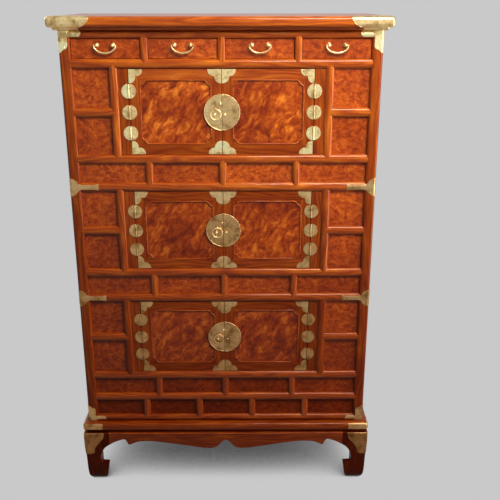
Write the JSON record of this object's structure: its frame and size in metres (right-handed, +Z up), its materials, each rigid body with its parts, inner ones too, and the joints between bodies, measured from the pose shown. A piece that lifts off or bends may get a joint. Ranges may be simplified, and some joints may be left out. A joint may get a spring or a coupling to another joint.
{
  "type": "korean cabinet",
  "caption": "Tall tiered Korean wooden cabinet on a low footed stand, with small top drawers, paired inset cupboard doors, burl panels and brass hinges, lock plates and bails.",
  "frame": {"origin": "centre of the footprint, on the floor", "axes": "+Z up, -Y towards the front with the doors, +X to the right of someone who faces the doors"},
  "size_m": [1.024, 0.47, 1.6],
  "materials": {
    "elm": "reddish-brown elm frame under a glossy lacquer",
    "burl": "figured burl panels, orange-brown, under a glossy lacquer",
    "inner_wood": "plain unfinished softwood",
    "brass": "pale aged brass with an uneven patina"
  },
  "bodies": {
    "cabinet": {"top_board": "elm", "post_front_left": "elm", "post_front_right": "elm", "post_rear_left": "elm", "post_rear_right": "elm", "side_panel_left": "burl", "side_panel_right": "burl", "back_panel": "inner_wood", "drawer_deck": "inner_wood", "tier_floor_1": "inner_wood", "tier_floor_2": "inner_wood", "tier_floor_3": "inner_wood", "drawer_frame": "elm", "row_frame_1": "elm", "row_frame_2": "elm", "base_row_frame": "elm", "burl_board_1": "burl", "burl_board_2": "burl", "burl_board_3": "burl", "bay_frame_left_1": "elm", "bay_frame_left_2": "elm", "bay_frame_left_3": "elm", "bay_frame_right_1": "elm", "bay_frame_right_2": "elm", "bay_frame_right_3": "elm", "base_sill": "elm", "stand_frame": "elm", "stand_leg_front_left": "elm", "stand_leg_front_right": "elm", "stand_leg_rear_left": "elm", "stand_leg_rear_right": "elm"},
    "door_left_1": {"door_frame_left_1": "elm", "door_panel_left_1": "burl", "lock_plate_left_1": "brass"},
    "door_left_2": {"door_frame_left_2": "elm", "door_panel_left_2": "burl", "lock_plate_left_2": "brass"},
    "door_left_3": {"door_frame_left_3": "elm", "door_panel_left_3": "burl", "lock_plate_left_3": "brass"},
    "door_right_1": {"door_frame_right_1": "elm", "door_panel_right_1": "burl", "lock_plate_right_1": "brass"},
    "door_right_2": {"door_frame_right_2": "elm", "door_panel_right_2": "burl", "lock_plate_right_2": "brass"},
    "door_right_3": {"door_frame_right_3": "elm", "door_panel_right_3": "burl", "lock_plate_right_3": "brass"},
    "ring_1": {"ring_pull_1": "brass"},
    "ring_2": {"ring_pull_2": "brass"},
    "ring_3": {"ring_pull_3": "brass"},
    "drawer_1": {"drawer_box_1": "burl"},
    "drawer_2": {"drawer_box_2": "burl"},
    "drawer_3": {"drawer_box_3": "burl"},
    "drawer_4": {"drawer_box_4": "burl"},
    "bail_1": {"drawer_bail_1": "brass"},
    "bail_2": {"drawer_bail_2": "brass"},
    "bail_3": {"drawer_bail_3": "brass"},
    "bail_4": {"drawer_bail_4": "brass"}
  },
  "joints": [
    {"name": "door_left_1_hinge", "type": "hinge", "parent": "cabinet", "child": "door_left_1", "pos_m": [-0.283, -0.202, 1.318], "axis": [0, 0, -1], "range_deg": [0, 110]},
    {"name": "door_left_2_hinge", "type": "hinge", "parent": "cabinet", "child": "door_left_2", "pos_m": [-0.283, -0.202, 0.938], "axis": [0, 0, -1], "range_deg": [0, 110]},
    {"name": "door_left_3_hinge", "type": "hinge", "parent": "cabinet", "child": "door_left_3", "pos_m": [-0.283, -0.202, 0.558], "axis": [0, 0, -1], "range_deg": [0, 110]},
    {"name": "door_right_1_hinge", "type": "hinge", "parent": "cabinet", "child": "door_right_1", "pos_m": [0.283, -0.202, 1.318], "axis": [0, 0, 1], "range_deg": [0, 110]},
    {"name": "door_right_2_hinge", "type": "hinge", "parent": "cabinet", "child": "door_right_2", "pos_m": [0.283, -0.202, 0.938], "axis": [0, 0, 1], "range_deg": [0, 110]},
    {"name": "door_right_3_hinge", "type": "hinge", "parent": "cabinet", "child": "door_right_3", "pos_m": [0.283, -0.202, 0.558], "axis": [0, 0, 1], "range_deg": [0, 110]},
    {"name": "ring_1_swing", "type": "hinge", "parent": "door_left_1", "child": "ring_1", "pos_m": [-0.0195, -0.205, 1.328], "axis": [-1, 0, 0], "range_deg": [0, 100]},
    {"name": "ring_2_swing", "type": "hinge", "parent": "door_left_2", "child": "ring_2", "pos_m": [-0.0195, -0.205, 0.948], "axis": [-1, 0, 0], "range_deg": [0, 100]},
    {"name": "ring_3_swing", "type": "hinge", "parent": "door_left_3", "child": "ring_3", "pos_m": [-0.0195, -0.205, 0.568], "axis": [-1, 0, 0], "range_deg": [0, 100]},
    {"name": "drawer_1_slide", "type": "slide", "parent": "cabinet", "child": "drawer_1", "axis": [0, -1, 0], "range_m": [0, 0.26]},
    {"name": "drawer_2_slide", "type": "slide", "parent": "cabinet", "child": "drawer_2", "axis": [0, -1, 0], "range_m": [0, 0.26]},
    {"name": "drawer_3_slide", "type": "slide", "parent": "cabinet", "child": "drawer_3", "axis": [0, -1, 0], "range_m": [0, 0.26]},
    {"name": "drawer_4_slide", "type": "slide", "parent": "cabinet", "child": "drawer_4", "axis": [0, -1, 0], "range_m": [0, 0.26]},
    {"name": "bail_1_swing", "type": "hinge", "parent": "drawer_1", "child": "bail_1", "pos_m": [-0.34687, -0.207, 1.5175], "axis": [-1, 0, 0], "range_deg": [0, 90]},
    {"name": "bail_2_swing", "type": "hinge", "parent": "drawer_2", "child": "bail_2", "pos_m": [-0.11563, -0.207, 1.5175], "axis": [-1, 0, 0], "range_deg": [0, 90]},
    {"name": "bail_3_swing", "type": "hinge", "parent": "drawer_3", "child": "bail_3", "pos_m": [0.11563, -0.207, 1.5175], "axis": [-1, 0, 0], "range_deg": [0, 90]},
    {"name": "bail_4_swing", "type": "hinge", "parent": "drawer_4", "child": "bail_4", "pos_m": [0.34687, -0.207, 1.5175], "axis": [-1, 0, 0], "range_deg": [0, 90]}
  ]
}
